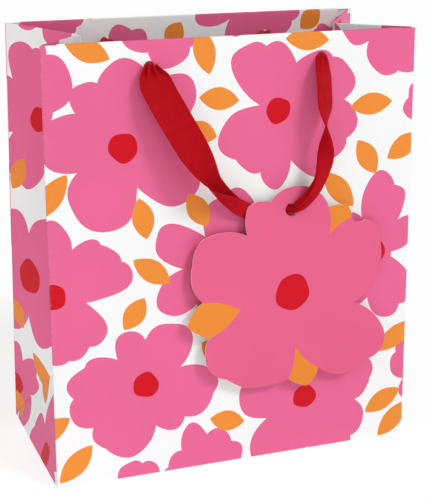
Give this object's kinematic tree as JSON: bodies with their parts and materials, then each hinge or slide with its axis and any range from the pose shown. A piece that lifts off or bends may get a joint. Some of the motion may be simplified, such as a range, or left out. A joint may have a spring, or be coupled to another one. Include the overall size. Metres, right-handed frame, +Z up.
{
  "type": "gift bag",
  "caption": "Gusseted paper gift bag with a flower print, ribbon handles, a stiff base card and a flower-shaped tag on the front handle.",
  "frame": {"origin": "centre of the base, on the surface that the bag stands on", "axes": "+X to the bag's right as seen from the front, -Y out of the front wall that carries the tag, +Z up"},
  "size_m": [0.215, 0.1164, 0.2448],
  "materials": {
    "printed_paper": "smooth coated art paper with a pink, red and orange print",
    "base_card": "plain grey-white board",
    "card_strip": "plain white-lined board",
    "ribbon": "soft woven red ribbon",
    "tag_card": "smooth printed card"
  },
  "bodies": {
    "base": {"bottom_flap_front": "printed_paper", "bottom_flap_back": "printed_paper", "bottom_flap_left": "printed_paper", "bottom_flap_right": "printed_paper", "base_card": "base_card"},
    "front_panel": {"front_panel": "printed_paper", "front_hem": "printed_paper", "front_card_strip": "card_strip", "front_knot_left": "ribbon", "front_knot_right": "ribbon"},
    "back_panel": {"back_panel": "printed_paper", "back_hem": "printed_paper", "back_card_strip": "card_strip", "back_knot_left": "ribbon", "back_knot_right": "ribbon", "side_seam_tab": "printed_paper"},
    "left_gusset_front": {"left_gusset_front": "printed_paper", "left_gusset_front_hem": "printed_paper"},
    "left_gusset_back": {"left_gusset_back": "printed_paper", "left_gusset_back_hem": "printed_paper"},
    "left_gusset_foot": {"left_gusset_foot": "printed_paper"},
    "right_gusset_front": {"right_gusset_front": "printed_paper", "right_gusset_front_hem": "printed_paper"},
    "right_gusset_back": {"right_gusset_back": "printed_paper", "right_gusset_back_hem": "printed_paper"},
    "right_gusset_foot": {"right_gusset_foot": "printed_paper"},
    "front_handle": {"front_ribbon_left": "ribbon", "front_ribbon_right": "ribbon"},
    "gift_tag": {"gift_tag": "tag_card", "front_ribbon_bight": "ribbon"},
    "back_handle": {"back_ribbon": "ribbon"}
  },
  "joints": [
    {"name": "mouth_pinch_front", "type": "hinge", "parent": "base", "child": "front_panel", "pos_m": [0, -0.052, 0], "axis": [-1, 0, 0], "range_deg": [-0.8, 7]},
    {"name": "mouth_pinch_back", "type": "hinge", "parent": "base", "child": "back_panel", "pos_m": [0, 0.052, 0], "axis": [1, 0, 0], "range_deg": [-0.8, 7]},
    {"name": "left_gusset_front_fold", "type": "hinge", "parent": "front_panel", "child": "left_gusset_front", "pos_m": [-0.1075, -0.052, 0], "axis": [0, -0.0449, -0.999], "range_deg": [-4.52, 39.55]},
    {"name": "left_gusset_back_fold", "type": "hinge", "parent": "back_panel", "child": "left_gusset_back", "pos_m": [-0.1075, 0.052, 0], "axis": [0, -0.0449, 0.999], "range_deg": [-4.52, 39.55]},
    {"name": "left_gusset_foot_tilt", "type": "hinge", "parent": "base", "child": "left_gusset_foot", "pos_m": [-0.1075, 0, 0], "axis": [0, 1, 0], "range_deg": [-1.6, 14]},
    {"name": "right_gusset_front_fold", "type": "hinge", "parent": "front_panel", "child": "right_gusset_front", "pos_m": [0.1075, -0.052, 0], "axis": [0, 0.0449, 0.999], "range_deg": [-4.52, 39.55]},
    {"name": "right_gusset_back_fold", "type": "hinge", "parent": "back_panel", "child": "right_gusset_back", "pos_m": [0.1075, 0.052, 0], "axis": [0, 0.0449, -0.999], "range_deg": [-4.52, 39.55]},
    {"name": "right_gusset_foot_tilt", "type": "hinge", "parent": "base", "child": "right_gusset_foot", "pos_m": [0.1075, 0, 0], "axis": [0, -1, 0], "range_deg": [-1.6, 14]},
    {"name": "front_handle_swing", "type": "hinge", "parent": "front_panel", "child": "front_handle", "pos_m": [0, -0.04463, 0.2309], "axis": [-1, 0, 0], "range_deg": [0, 165]},
    {"name": "tag_swing", "type": "hinge", "parent": "front_handle", "child": "gift_tag", "pos_m": [0, -0.04657, 0.16542], "axis": [-1, 0, 0], "range_deg": [-165, 0]},
    {"name": "back_handle_swing", "type": "hinge", "parent": "back_panel", "child": "back_handle", "pos_m": [0, 0.04463, 0.2309], "axis": [1, 0, 0], "range_deg": [0, 165]}
  ],
  "couplings": [
    {"joint": "mouth_pinch_back", "follows": "mouth_pinch_front", "ratio": 1},
    {"joint": "left_gusset_front_fold", "follows": "mouth_pinch_front", "ratio": 5.65},
    {"joint": "left_gusset_back_fold", "follows": "mouth_pinch_front", "ratio": 5.65},
    {"joint": "left_gusset_foot_tilt", "follows": "mouth_pinch_front", "ratio": 2},
    {"joint": "right_gusset_front_fold", "follows": "mouth_pinch_front", "ratio": 5.65},
    {"joint": "right_gusset_back_fold", "follows": "mouth_pinch_front", "ratio": 5.65},
    {"joint": "right_gusset_foot_tilt", "follows": "mouth_pinch_front", "ratio": 2},
    {"joint": "tag_swing", "follows": "front_handle_swing", "ratio": -1}
  ]
}
